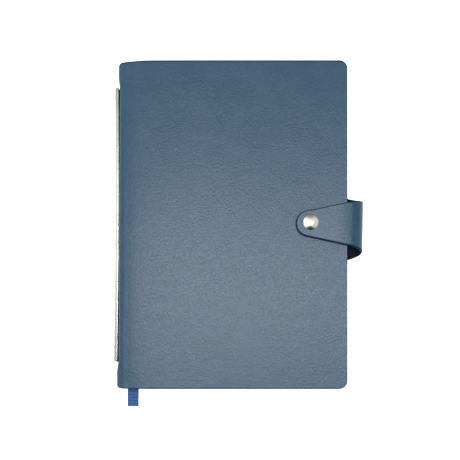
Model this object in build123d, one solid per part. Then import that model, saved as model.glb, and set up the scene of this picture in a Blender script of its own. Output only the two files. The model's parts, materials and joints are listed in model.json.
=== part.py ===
from build123d import *

import math
import os

# A soft-cover pilot logbook whose leaves hang on a six-ring mechanism riveted to the outside of the spine.
# The closed book lies on its back cover: X runs from the spine to the fore-edge, Y to the head and Z up
# through the front cover. The origin is the middle of the back cover's outer face. Millimetres.

# Cover: a leather-cloth skin, a thin board and a lining, folded round the spine with two soft creases.
COVER_WIDTH = 150.0
COVER_HEIGHT = 216.0
SPINE_THICKNESS = 21.0  # over both covers at the spine
CREASE_RADIUS = 4.0  # outside of the fold
FORE_CORNER = 5.3
SPINE_CORNER = 4.0
SKIN = 0.9
BOARD = 0.6
LINING = 0.5
BOARD_INSET = 2.5
BOARD_CORNER = 3.0
BOARD_START = 1.0  # from the crease to each cover's board
STIFFENER_MARGIN = 0.5  # from each crease to the spine's stiffener
CUT_MARGIN = 1.0  # how far a cutting shape runs past the face that it opens

# Ring mechanism: each ring is a circle of wire whose two legs pass through the spine.
RING_PLACES = (73.0, 54.0, 35.0, -35.0, -54.0, -73.0)  # 19, 19, 70, 19, 19 mm apart
RING_RADIUS = 7.1  # to the middle of the wire
WIRE_RADIUS = 1.0
RING_STANDOFF = 5.7  # from the lining of the spine to the ring's centre
LEG_OFFSET = 4.6  # each leg's height above or below the ring's centre
LEG_SLOT_RADIUS = 1.8
RING_JOINT_GAP = 0.05
SHELL_LENGTH = 180.0
SHELL_WIDTH = 12.8
SHELL_HEIGHT = 3.0
SHELL_WALL = 0.5
SHELL_SHOULDER = 2.0  # height of the shell's side walls, where its crown starts
TOGGLE_LENGTH = 164.0
TOGGLE_WALL = 0.6
TOGGLE_EDGE = 5.4  # how far each toggle plate reaches from the middle
TOGGLE_GAP = 0.1
RIVET_PLACES = {"head": 84.0, "tail": -84.0}
RIVET_SHANK_RADIUS = 1.5
RIVET_HEAD_RADIUS = 2.6
RIVET_HEAD_HEIGHT = 0.6
RIVET_HEAD_ROUNDING = 0.45
WASHER_RADIUS = 4.0

# Leaves: two flyleaves and four sections of log pages, half of them above the ribbon.
LEAF_WIDTH = 140.0
LEAF_HEIGHT = 210.0
LEAF_CORNER = 3.0
HOLE_RADIUS = 2.75
HOLE_MARGIN = 4.8  # from the punched edge to the middle of a hole
FLYLEAF = 0.4
SECTION = 2.15
SECTION_GAP = 0.04
RIBBON_ROOM = 0.2  # half of the gap that the ribbon lies in
LEAF_REST_GAP = 0.15  # between the outermost leaves and the linings, at the fore-edge

# Ribbon: a woven tape that leaves a slit in the spine lining near the head and hangs out at the tail.
RIBBON_LEFT = -69.2
RIBBON_WIDTH = 6.8
RIBBON_THICKNESS = 0.3
RIBBON_TOP = 100.0
RIBBON_TAIL = 11.2  # past the tail edge of the cover
SLIT_MARGIN = 0.2

# Strap: two plies, rooted in the back cover, round the fore-edge and onto the front cover.
STRAP_OUTER = 0.9
STRAP_INNER = 0.7
STRAP_ROOT_LENGTH = 18.0
STRAP_ROOT_START = 0.05  # clear of the cover's edge
STRAP_OUTSET = 2.2  # straight stretch before the bend
STRAP_STANDOFF = 1.9  # from the front cover to the strap's underside, held off by the snap
STRAP_TIP_X = 41.1
STRAP_TIP_RADIUS = 8.6
STRAP_TIP_Y = 0.4
STRAP_FRONT_EDGES = (-14.3, 15.1)  # lower and upper edge over the front cover's fore-edge
STRAP_BEND_EDGES = (-18.1, 15.8)
STRAP_BACK_EDGES = (-22.8, 18.0)

# Snap fastener, on one axis: cap, socket and ring spring on the strap, stud and eyelet on the cover.
SNAP_X = 50.8
SNAP_Y = 1.3
CAP_RADIUS = 5.05
CAP_HEIGHT = 2.0
CAP_RIM = 0.5
CAP_SHANK_RADIUS = 1.45
STRAP_HOLE_RADIUS = 1.5
SOCKET_RADIUS = 4.2
SOCKET_CLEARANCE = 0.6  # from the cover to the underside of the socket
SOCKET_BORE_RADIUS = 2.35
SOCKET_ROOF = 0.2
SPRING_RADIUS = 2.02
SPRING_WIRE_RADIUS = 0.25
STUD_FLANGE_RADIUS = 4.2
STUD_FLANGE = 0.4
STUD_NECK_RADIUS = 1.5
STUD_HEAD_RADIUS = 1.85
STUD_HEAD_START = 1.05
STUD_HEAD_TOP = 1.55
EYELET_RADIUS = 0.9
EYELET_FLANGE_RADIUS = 4.4
EYELET_TOP = 1.2

# Worked out: heights of the plies under the outer face, and the ends of the book.
BOARD_DEPTH = SKIN
LINING_DEPTH = SKIN + BOARD
COVER_THICKNESS = SKIN + BOARD + LINING
HALF_HEIGHT = COVER_HEIGHT / 2
SPINE_X = -COVER_WIDTH / 2
FORE_X = COVER_WIDTH / 2
MIDDLE_Z = SPINE_THICKNESS / 2
SPINE_INSIDE_X = SPINE_X + COVER_THICKNESS
RING_X = SPINE_INSIDE_X + RING_STANDOFF

# Worked out: the ring bore and how far the leaves and the front cover slope down to the fore-edge.
STACK_HALF = RIBBON_ROOM + 2 * (SECTION + SECTION_GAP) + FLYLEAF
RING_INSIDE = RING_RADIUS - WIRE_RADIUS
RING_OUTSIDE = RING_RADIUS + WIRE_RADIUS


def hole_offset(low, high):
    """Distance from the ring's centre to a punched hole in leaves between two heights above it."""
    nearest = math.sqrt(RING_INSIDE**2 - high**2)
    farthest = math.sqrt(RING_OUTSIDE**2 - low**2)
    return (nearest + farthest) / 2


def angle_to_drop(length, height, drop):
    """Angle that lowers the point (length, height) until its height is `drop`, in degrees."""
    reach = math.hypot(length, height)
    return math.degrees(math.atan2(height, length) - math.asin(drop / reach))


FLYLEAF_START = hole_offset(STACK_HALF - FLYLEAF, STACK_HALF) - HOLE_MARGIN
LEAF_REACH = FLYLEAF_START + LEAF_WIDTH
LEAF_SLOPE = angle_to_drop(
    LEAF_REACH, -STACK_HALF, COVER_THICKNESS + LEAF_REST_GAP - MIDDLE_Z
)
CREASE_X = SPINE_X + CREASE_RADIUS
BACK_CREASE_Z = CREASE_RADIUS
FRONT_CREASE_Z = SPINE_THICKNESS - CREASE_RADIUS


def front_cover_slope():
    """Slope at which the front cover's lining rests on the far edge of the front flyleaf, in degrees."""
    slope = math.radians(LEAF_SLOPE)
    edge_x = RING_X + LEAF_REACH * math.cos(slope) + STACK_HALF * math.sin(slope)
    edge_z = MIDDLE_Z - LEAF_REACH * math.sin(slope) + STACK_HALF * math.cos(slope)
    lining_radius = CREASE_RADIUS - COVER_THICKNESS
    across = edge_x - CREASE_X
    down = FRONT_CREASE_Z - edge_z
    reach = math.hypot(across, down)
    return math.degrees(
        math.asin((lining_radius - LEAF_REST_GAP) / reach) + math.atan2(down, across)
    )


FRONT_SLOPE = front_cover_slope()
SLOPE_SIN = math.sin(math.radians(FRONT_SLOPE))
SLOPE_COS = math.cos(math.radians(FRONT_SLOPE))
BACK_LENGTH = FORE_X - CREASE_X
FRONT_LENGTH = (BACK_LENGTH - CREASE_RADIUS * SLOPE_SIN) / SLOPE_COS

# Leaves and ribbon are drawn level round the ring's centre, then sloped about it.
LEAF_FRAME = Pos(RING_X, 0, MIDDLE_Z) * Rot(0, LEAF_SLOPE, 0)

# A cover is drawn flat with its outer face at z = 0 and its crease end at x = 0, then placed.
FRONT_COVER = Pos(
    CREASE_X + CREASE_RADIUS * SLOPE_SIN, 0, FRONT_CREASE_Z + CREASE_RADIUS * SLOPE_COS
) * Rot(0, FRONT_SLOPE, 0)
BACK_COVER = Pos(CREASE_X, 0, 0) * Rot(180, 0, 0)

# The creases turn about the middle of their outer faces. Angles are from +X, towards +Z.
BACK_SPLIT = 225.0
FRONT_SPLIT = 135.0 - FRONT_SLOPE / 2
BACK_HINGE = (
    CREASE_X + CREASE_RADIUS * math.cos(math.radians(BACK_SPLIT)),
    BACK_CREASE_Z + CREASE_RADIUS * math.sin(math.radians(BACK_SPLIT)),
)
FRONT_HINGE = (
    CREASE_X + CREASE_RADIUS * math.cos(math.radians(FRONT_SPLIT)),
    FRONT_CREASE_Z + CREASE_RADIUS * math.sin(math.radians(FRONT_SPLIT)),
)

# The strap's bend is a half circle from the back cover's level to its place over the front cover.
STRAP = STRAP_OUTER + STRAP_INNER
STRAP_BOTTOM_Z = SKIN
BEND_X = FORE_X + STRAP_OUTSET
BEND_RADIUS = (
    STRAP_STANDOFF
    + STRAP
    + CREASE_RADIUS
    + (CREASE_X - BEND_X) * SLOPE_SIN
    + (FRONT_CREASE_Z - STRAP_BOTTOM_Z) * SLOPE_COS
) / (1 + SLOPE_COS)
BEND_Z = STRAP_BOTTOM_Z + BEND_RADIUS
FLAP_X = BEND_X + BEND_RADIUS * SLOPE_SIN
FLAP_Z = BEND_Z + BEND_RADIUS * SLOPE_COS
FLAP = Pos(FLAP_X, 0, FLAP_Z) * Rot(0, FRONT_SLOPE, 0)
LOOP_START_X = FORE_X + STRAP_ROOT_START

# In the flap's frame its outer face is z = 0 and the front cover's outer face lies below it.
COVER_LEVEL = -(STRAP + STRAP_STANDOFF)
SNAP_LOCAL_X = (SNAP_X - FLAP_X) / SLOPE_COS
SNAP_AXIS = FLAP * Pos(SNAP_LOCAL_X, SNAP_Y, 0)
TIP_LOCAL_X = (STRAP_TIP_X - FLAP_X) / SLOPE_COS


def wall(profile, half_length=HALF_HEIGHT):
    """Solid of a profile drawn in the XZ plane, running both ways along Y."""
    return extrude(Plane.XZ * profile, amount=half_length, both=True)


def box_between(low, high):
    """Box from its lowest corner to its highest."""
    size = [b - a for a, b in zip(low, high)]
    return Pos(*low) * Box(*size, align=(Align.MIN, Align.MIN, Align.MIN))


def rod(radius, low, high):
    """Cylinder along Z from one height to another."""
    return Pos(0, 0, low) * Cylinder(radius, high - low, align=(Align.CENTER, Align.CENTER, Align.MIN))


def sector(centre_z, inner, outer, start, end):
    """Piece of a crease: the part of a pipe wall between two angles."""
    centre = (CREASE_X, centre_z)
    outside = CenterArc(centre, outer, start, end - start)
    inside = CenterArc(centre, inner, start, end - start)
    ends = [Line(outside @ 0, inside @ 0), Line(outside @ 1, inside @ 1)]
    return wall(make_face([outside, inside, *ends]))


def flat_ply(length, half_height, depth, thickness, corner, start=0.0):
    """Flat ply of a cover in the cover's own frame, with its two fore-edge corners rounded."""
    outline = Rectangle(length - start, 2 * half_height, align=(Align.MIN, Align.CENTER))
    fore_corners = outline.vertices().group_by(Axis.X)[-1]
    outline = fillet(fore_corners, corner)
    return Pos(start, 0, -depth) * extrude(outline, -thickness)


def spine_trim():
    """Space that the cover fills in plan, rounded where the spine meets the head and the tail."""
    outline = Rectangle(2 * COVER_WIDTH, COVER_HEIGHT, align=(Align.MIN, Align.CENTER))
    spine_corners = outline.vertices().group_by(Axis.X)[0]
    outline = fillet(spine_corners, SPINE_CORNER)
    return Pos(SPINE_X, 0, 0) * extrude(outline, SPINE_THICKNESS)


def board_ply(length):
    """Stiffening board of a cover, short of the skin's edges all round."""
    return flat_ply(
        length - BOARD_INSET, HALF_HEIGHT - BOARD_INSET, BOARD_DEPTH, BOARD, BOARD_CORNER, BOARD_START
    )


def lining_ply(length):
    """Lining of a cover, which meets the skin in a rim round the board."""
    filled = flat_ply(length, HALF_HEIGHT, BOARD_DEPTH, BOARD + LINING, FORE_CORNER)
    return filled - board_ply(length)


def strap_root():
    """Thinned end of the strap between the back cover's skin and lining."""
    low, high = STRAP_BACK_EDGES
    outline = Rectangle(STRAP_ROOT_LENGTH, high - low, align=(Align.MAX, Align.MIN))
    inner_corners = outline.vertices().group_by(Axis.X)[0]
    outline = fillet(inner_corners, BOARD_CORNER)
    return Pos(FORE_X, low, STRAP_BOTTOM_Z) * extrude(outline, BOARD)


def snap_hole(radius):
    """Hole through the front cover on the snap's axis."""
    return SNAP_AXIS * rod(
        radius, COVER_LEVEL - COVER_THICKNESS - CUT_MARGIN, COVER_LEVEL + CUT_MARGIN
    )


def front_cover():
    """Skin, board and lining of the front cover, with the hole of the snap's stud."""
    trim = spine_trim()
    spring = (FRONT_SPLIT, 90.0 - FRONT_SLOPE)
    skin = FRONT_COVER * flat_ply(FRONT_LENGTH, HALF_HEIGHT, 0, SKIN, FORE_CORNER)
    skin += sector(FRONT_CREASE_Z, CREASE_RADIUS - SKIN, CREASE_RADIUS, *spring)
    lining = FRONT_COVER * lining_ply(FRONT_LENGTH)
    lining += sector(
        FRONT_CREASE_Z, CREASE_RADIUS - COVER_THICKNESS, CREASE_RADIUS - SKIN, *spring
    )
    eyelet_seat = SNAP_AXIS * rod(
        EYELET_FLANGE_RADIUS, COVER_LEVEL - COVER_THICKNESS - CUT_MARGIN, COVER_LEVEL - LINING_DEPTH
    )
    return {
        "front_cover_skin": (skin & trim) - snap_hole(EYELET_RADIUS),
        "front_cover_board": FRONT_COVER * board_ply(FRONT_LENGTH) - snap_hole(EYELET_RADIUS),
        "front_cover_lining": (lining & trim) - eyelet_seat,
    }


def back_cover():
    """Skin, board and lining of the back cover, with the strap's root between them."""
    trim = spine_trim()
    spring = (BACK_SPLIT, 270.0)
    root = strap_root()
    skin = BACK_COVER * flat_ply(BACK_LENGTH, HALF_HEIGHT, 0, SKIN, FORE_CORNER)
    skin += sector(BACK_CREASE_Z, CREASE_RADIUS - SKIN, CREASE_RADIUS, *spring)
    lining = BACK_COVER * lining_ply(BACK_LENGTH)
    lining += sector(
        BACK_CREASE_Z, CREASE_RADIUS - COVER_THICKNESS, CREASE_RADIUS - SKIN, *spring
    )
    return {
        "back_cover_skin": skin & trim,
        "back_cover_board": BACK_COVER * board_ply(BACK_LENGTH) - root,
        "back_cover_lining": (lining & trim) - root,
        "strap_root": root,
    }


def spine_holes():
    """Holes through the spine for the ring legs and the two rivets."""
    across = Pos(SPINE_X, 0, MIDDLE_Z) * Rot(0, 90, 0)
    ends = (-CUT_MARGIN, COVER_THICKNESS + CUT_MARGIN)
    holes = []
    for place in RING_PLACES:
        for side in (-LEG_OFFSET, LEG_OFFSET):
            holes.append(across * Pos(side, place, 0) * rod(LEG_SLOT_RADIUS, *ends))
    for place in RIVET_PLACES.values():
        holes.append(across * Pos(0, place, 0) * rod(RIVET_SHANK_RADIUS, *ends))
    return holes


def spine_wall(depth, thickness, low, high, half_height=HALF_HEIGHT):
    """Upright ply of the spine between two heights."""
    left = SPINE_X + depth
    return box_between((left, -half_height, low), (left + thickness, half_height, high))


def spine_plies():
    """Skin, stiffener and lining of the spine, each with its half of both creases."""
    trim = spine_trim()
    holes = spine_holes()
    low, high = BACK_CREASE_Z, FRONT_CREASE_Z
    stiffener = spine_wall(
        BOARD_DEPTH,
        BOARD,
        low + STIFFENER_MARGIN,
        high - STIFFENER_MARGIN,
        HALF_HEIGHT - BOARD_INSET,
    )
    skin = spine_wall(0, SKIN, low, high)
    lining = spine_wall(BOARD_DEPTH, BOARD + LINING, low, high) - stiffener
    for centre_z, start, end in ((low, 180.0, BACK_SPLIT), (high, FRONT_SPLIT, 180.0)):
        skin += sector(centre_z, CREASE_RADIUS - SKIN, CREASE_RADIUS, start, end)
        lining += sector(
            centre_z, CREASE_RADIUS - COVER_THICKNESS, CREASE_RADIUS - SKIN, start, end
        )
    slit_low = (SPINE_X + LINING_DEPTH, RIBBON_TOP - RIBBON_WIDTH - SLIT_MARGIN)
    slit_high = (SPINE_INSIDE_X + CUT_MARGIN, RIBBON_TOP + SLIT_MARGIN)
    slit_half = RIBBON_THICKNESS / 2 + SLIT_MARGIN
    slit = box_between((*slit_low, MIDDLE_Z - slit_half), (*slit_high, MIDDLE_Z + slit_half))
    washer_seat = Rot(0, 90, 0) * rod(WASHER_RADIUS, 0, LINING + CUT_MARGIN)
    washer_seats = [
        Pos(SPINE_X + LINING_DEPTH, place, MIDDLE_Z) * washer_seat
        for place in RIVET_PLACES.values()
    ]
    return {
        "spine_skin": (skin & trim) - holes,
        "spine_stiffener": stiffener - holes,
        "spine_lining": (lining & trim) - holes - slit - washer_seats,
    }


def shell_outline(inset):
    """Closed cross-section of the mechanism's shell: side walls under a crowned roof."""
    foot = SHELL_WIDTH / 2 - inset
    shoulder = SHELL_SHOULDER - inset
    shoulder_side = foot - shoulder / 2
    walls = Polyline(
        (SPINE_X - shoulder, MIDDLE_Z - shoulder_side),
        (SPINE_X, MIDDLE_Z - foot),
        (SPINE_X, MIDDLE_Z + foot),
        (SPINE_X - shoulder, MIDDLE_Z + shoulder_side),
    )
    roof = ThreePointArc(walls @ 1, (SPINE_X - SHELL_HEIGHT + inset, MIDDLE_Z), walls @ 0)
    return make_face([walls, roof])


def mechanism():
    """Shell on the outside of the spine, the two toggle plates under it and its rivets."""
    across = Pos(SPINE_X, 0, MIDDLE_Z) * Rot(0, -90, 0)
    shell = wall(shell_outline(0), SHELL_LENGTH / 2)
    shell -= wall(shell_outline(SHELL_WALL), SHELL_LENGTH / 2 - SHELL_WALL)
    parts = {"mechanism_shell": shell}
    for name, side in (("upper", 1), ("lower", -1)):
        edges = sorted((MIDDLE_Z + side * TOGGLE_GAP / 2, MIDDLE_Z + side * TOGGLE_EDGE))
        left = SPINE_X - TOGGLE_GAP - TOGGLE_WALL
        plate = box_between(
            (left, -TOGGLE_LENGTH / 2, edges[0]),
            (left + TOGGLE_WALL, TOGGLE_LENGTH / 2, edges[1]),
        )
        for place in RING_PLACES:
            plate -= across * Pos(side * LEG_OFFSET, place, 0) * rod(WIRE_RADIUS, 0, SHELL_HEIGHT)
        parts[f"{name}_toggle_plate"] = plate
    for name, place in RIVET_PLACES.items():
        axis = across * Pos(0, place, 0)
        dome = Pos(0, 0, SHELL_HEIGHT) * Cylinder(
            RIVET_HEAD_RADIUS, RIVET_HEAD_HEIGHT, align=(Align.CENTER, Align.CENTER, Align.MIN)
        )
        dome = fillet(dome.edges().sort_by(Axis.Z)[-1], RIVET_HEAD_ROUNDING)
        shank = rod(RIVET_SHANK_RADIUS, -LINING_DEPTH, SHELL_HEIGHT)
        parts[f"mechanism_rivet_{name}"] = axis * (dome + shank)
        washer = rod(WASHER_RADIUS, -COVER_THICKNESS, -LINING_DEPTH)
        parts[f"rivet_washer_{name}"] = axis * washer
        for pierced in ("mechanism_shell", "upper_toggle_plate", "lower_toggle_plate"):
            parts[pierced] -= axis * rod(RIVET_SHANK_RADIUS, 0, SHELL_HEIGHT + CUT_MARGIN)
    return parts


def ring_half(side, place):
    """Half of a ring: its arc, a straight leg through the spine and the leg's peened end."""
    arc_end = 180 - math.degrees(math.asin(LEG_OFFSET / RING_RADIUS))
    arc_start = math.degrees(RING_JOINT_GAP / 2 / RING_RADIUS)
    knee_x = RING_X - math.sqrt(RING_RADIUS**2 - LEG_OFFSET**2)
    level = MIDDLE_Z + side * LEG_OFFSET
    peened_x = SPINE_X - TOGGLE_GAP - TOGGLE_WALL
    centre = Plane(origin=(RING_X, place, MIDDLE_Z), x_dir=(1, 0, 0), z_dir=(0, -side, 0))
    start = centre * Rot(0, 0, arc_start) * Pos(RING_RADIUS, 0, 0) * Rot(90, 0, 0)
    disc = start * Circle(WIRE_RADIUS)
    turn = Axis((RING_X, place, MIDDLE_Z), (0, -side, 0))
    arc = revolve(disc, turn, arc_end - arc_start)
    knee = Pos(knee_x, place, level) * Sphere(WIRE_RADIUS)
    leg = Pos(knee_x, place, level) * Rot(0, -90, 0) * rod(WIRE_RADIUS, 0, knee_x - peened_x)
    return arc + knee + leg


def rings():
    """Upper and lower half of each ring, numbered from the head."""
    parts = {}
    for number, place in enumerate(RING_PLACES, start=1):
        parts[f"ring_{number}_upper_half"] = ring_half(1, place)
        parts[f"ring_{number}_lower_half"] = ring_half(-1, place)
    return parts


def leaf_block(side, low, high):
    """Punched block of leaves between two heights above or below the ring's centre."""
    hole_x = hole_offset(low, high)
    block = Rectangle(LEAF_WIDTH, LEAF_HEIGHT, align=(Align.MIN, Align.CENTER))
    fore_corners = block.vertices().group_by(Axis.X)[-1]
    block = Pos(hole_x - HOLE_MARGIN, 0, 0) * fillet(fore_corners, LEAF_CORNER)
    for place in RING_PLACES:
        block -= Pos(hole_x, place, 0) * Circle(HOLE_RADIUS)
    bottom = low if side > 0 else -high
    return LEAF_FRAME * Pos(0, 0, bottom) * extrude(block, high - low)


def leaves():
    """Flyleaves and log sections, sloping together from the rings to the fore-edge."""
    parts = {}
    inner = (RIBBON_ROOM, RIBBON_ROOM + SECTION)
    outer = tuple(height + SECTION + SECTION_GAP for height in inner)
    fly = (STACK_HALF - FLYLEAF, STACK_HALF)
    order = (
        ("front_flyleaf", 1, fly),
        ("log_section_1", 1, outer),
        ("log_section_2", 1, inner),
        ("log_section_3", -1, inner),
        ("log_section_4", -1, outer),
        ("rear_flyleaf", -1, fly),
    )
    for name, side, heights in order:
        parts[name] = leaf_block(side, *heights)
    return parts


def ribbon():
    """Tape folded at 45 degrees by the slit and lying inside the rings, down past the tail."""
    left = RIBBON_LEFT - RING_X
    right = left + RIBBON_WIDTH
    slit_end = SPINE_X + LINING_DEPTH - RING_X
    turn = RIBBON_TOP - RIBBON_WIDTH
    tail = -HALF_HEIGHT - RIBBON_TAIL
    outline = Polyline(
        (slit_end, RIBBON_TOP),
        (left, RIBBON_TOP),
        (right, turn),
        (right, tail),
        (left, tail),
        (left, turn),
        (slit_end, turn),
        close=True,
    )
    tape = extrude(make_face(outline), RIBBON_THICKNESS / 2, both=True)
    return {"ribbon_marker": LEAF_FRAME * tape}


def bend_ply(inner_radius, outer_radius):
    """One ply of the strap round the fore-edge: a short straight stretch and the bend."""
    centre = (BEND_X, BEND_Z)
    sweep = 180.0 - FRONT_SLOPE
    outside = CenterArc(centre, outer_radius, -90, sweep)
    inside = CenterArc(centre, inner_radius, -90, sweep)
    outer_start = (LOOP_START_X, BEND_Z - outer_radius)
    inner_start = (LOOP_START_X, BEND_Z - inner_radius)
    edges = [
        Line(outer_start, outside @ 0),
        outside,
        Line(outside @ 1, inside @ 1),
        inside,
        Line(inside @ 0, inner_start),
        Line(inner_start, outer_start),
    ]
    blank = wall(make_face(edges))
    levels = (STRAP_BOTTOM_Z, BEND_Z, FLAP_Z)
    widths = (STRAP_BACK_EDGES, STRAP_BEND_EDGES, STRAP_FRONT_EDGES)
    lower = [(edges[0], level) for edges, level in zip(widths, levels)]
    upper = [(edges[1], level) for edges, level in zip(widths, levels)]
    outline = make_face([
        Line(lower[0], upper[0]),
        ThreePointArc(*upper),
        Line(upper[2], lower[2]),
        ThreePointArc(*reversed(lower)),
    ])
    cutter = Pos(LOOP_START_X, 0, 0) * extrude(Plane.YZ * outline, 2 * BEND_RADIUS + STRAP_OUTSET)
    return blank & cutter


def flap_ply(depth, thickness):
    """One ply of the strap over the front cover: tapered to a round tip, with the snap's hole."""
    tip = CenterArc((TIP_LOCAL_X + STRAP_TIP_RADIUS, STRAP_TIP_Y), STRAP_TIP_RADIUS, 0, 360)
    low, high = STRAP_FRONT_EDGES
    outline = make_hull([tip, Line((0, low), (0, high))])
    outline -= Pos(SNAP_LOCAL_X, SNAP_Y, 0) * Circle(STRAP_HOLE_RADIUS)
    return FLAP * Pos(0, 0, -depth) * extrude(outline, -thickness)


def strap():
    """Loop and flap of the strap, which part half-way round the bend, each in two plies."""
    loop_side = box_between(
        (FORE_X, -HALF_HEIGHT, 0), (BEND_X + BEND_RADIUS + CUT_MARGIN, HALF_HEIGHT, BEND_Z)
    )
    middle_radius = BEND_RADIUS - STRAP_OUTER
    outer = bend_ply(middle_radius, BEND_RADIUS)
    lining = bend_ply(BEND_RADIUS - STRAP, middle_radius)
    return {
        "strap_loop_outer": outer & loop_side,
        "strap_loop_lining": lining & loop_side,
        "strap_flap_outer": (outer - loop_side) + flap_ply(0, STRAP_OUTER),
        "strap_flap_lining": (lining - loop_side) + flap_ply(STRAP_OUTER, STRAP_INNER),
    }


def snap_fastener():
    """Snap on the strap's tip and the front cover, in the flap's frame round the snap's axis."""
    underside = -STRAP
    roof = underside - SOCKET_ROOF
    mouth = COVER_LEVEL + SOCKET_CLEARANCE
    dome_height = CAP_HEIGHT - CAP_RIM
    dome_radius = (CAP_RADIUS**2 + dome_height**2) / (2 * dome_height)
    ball = Pos(0, 0, CAP_HEIGHT - dome_radius) * Sphere(dome_radius)
    cap = (rod(CAP_RADIUS, 0, CAP_HEIGHT) & ball) + rod(CAP_SHANK_RADIUS, roof, 0)
    socket = rod(SOCKET_RADIUS, mouth, underside) - rod(SOCKET_BORE_RADIUS, mouth, roof)
    socket -= rod(STRAP_HOLE_RADIUS, roof, underside)
    spring = Pos(0, 0, mouth + SPRING_WIRE_RADIUS) * Torus(SPRING_RADIUS, SPRING_WIRE_RADIUS)
    stud = rod(STUD_FLANGE_RADIUS, COVER_LEVEL, COVER_LEVEL + STUD_FLANGE)
    stud += rod(STUD_NECK_RADIUS, COVER_LEVEL, COVER_LEVEL + STUD_HEAD_TOP)
    stud += rod(STUD_HEAD_RADIUS, COVER_LEVEL + STUD_HEAD_START, COVER_LEVEL + STUD_HEAD_TOP)
    stud -= rod(EYELET_RADIUS, COVER_LEVEL, COVER_LEVEL + EYELET_TOP)
    eyelet = rod(EYELET_RADIUS, COVER_LEVEL - LINING_DEPTH, COVER_LEVEL + EYELET_TOP)
    eyelet += rod(EYELET_FLANGE_RADIUS, COVER_LEVEL - COVER_THICKNESS, COVER_LEVEL - LINING_DEPTH)
    pieces = {
        "snap_cap": cap,
        "snap_socket": socket,
        "snap_ring_spring": spring,
        "snap_stud": stud,
        "snap_eyelet": eyelet,
    }
    return {name: SNAP_AXIS * piece for name, piece in pieces.items()}


def main():
    os.makedirs("parts", exist_ok=True)
    nodes = {}
    for group in (
        front_cover, back_cover, spine_plies, mechanism, rings, leaves, ribbon, strap, snap_fastener
    ):
        nodes.update(group())
    for name, solid in nodes.items():
        export_step(solid, f"parts/{name}.step")
    print("leaf slope", LEAF_SLOPE, "front slope", FRONT_SLOPE, "bend radius", BEND_RADIUS)
    print("back hinge", BACK_HINGE, "front hinge", FRONT_HINGE, "flap", FLAP_X, FLAP_Z)


main()
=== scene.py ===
import json
import random
from math import asin, atan2, copysign, cos, exp, hypot, pi, radians, sin, sqrt, tan

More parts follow.
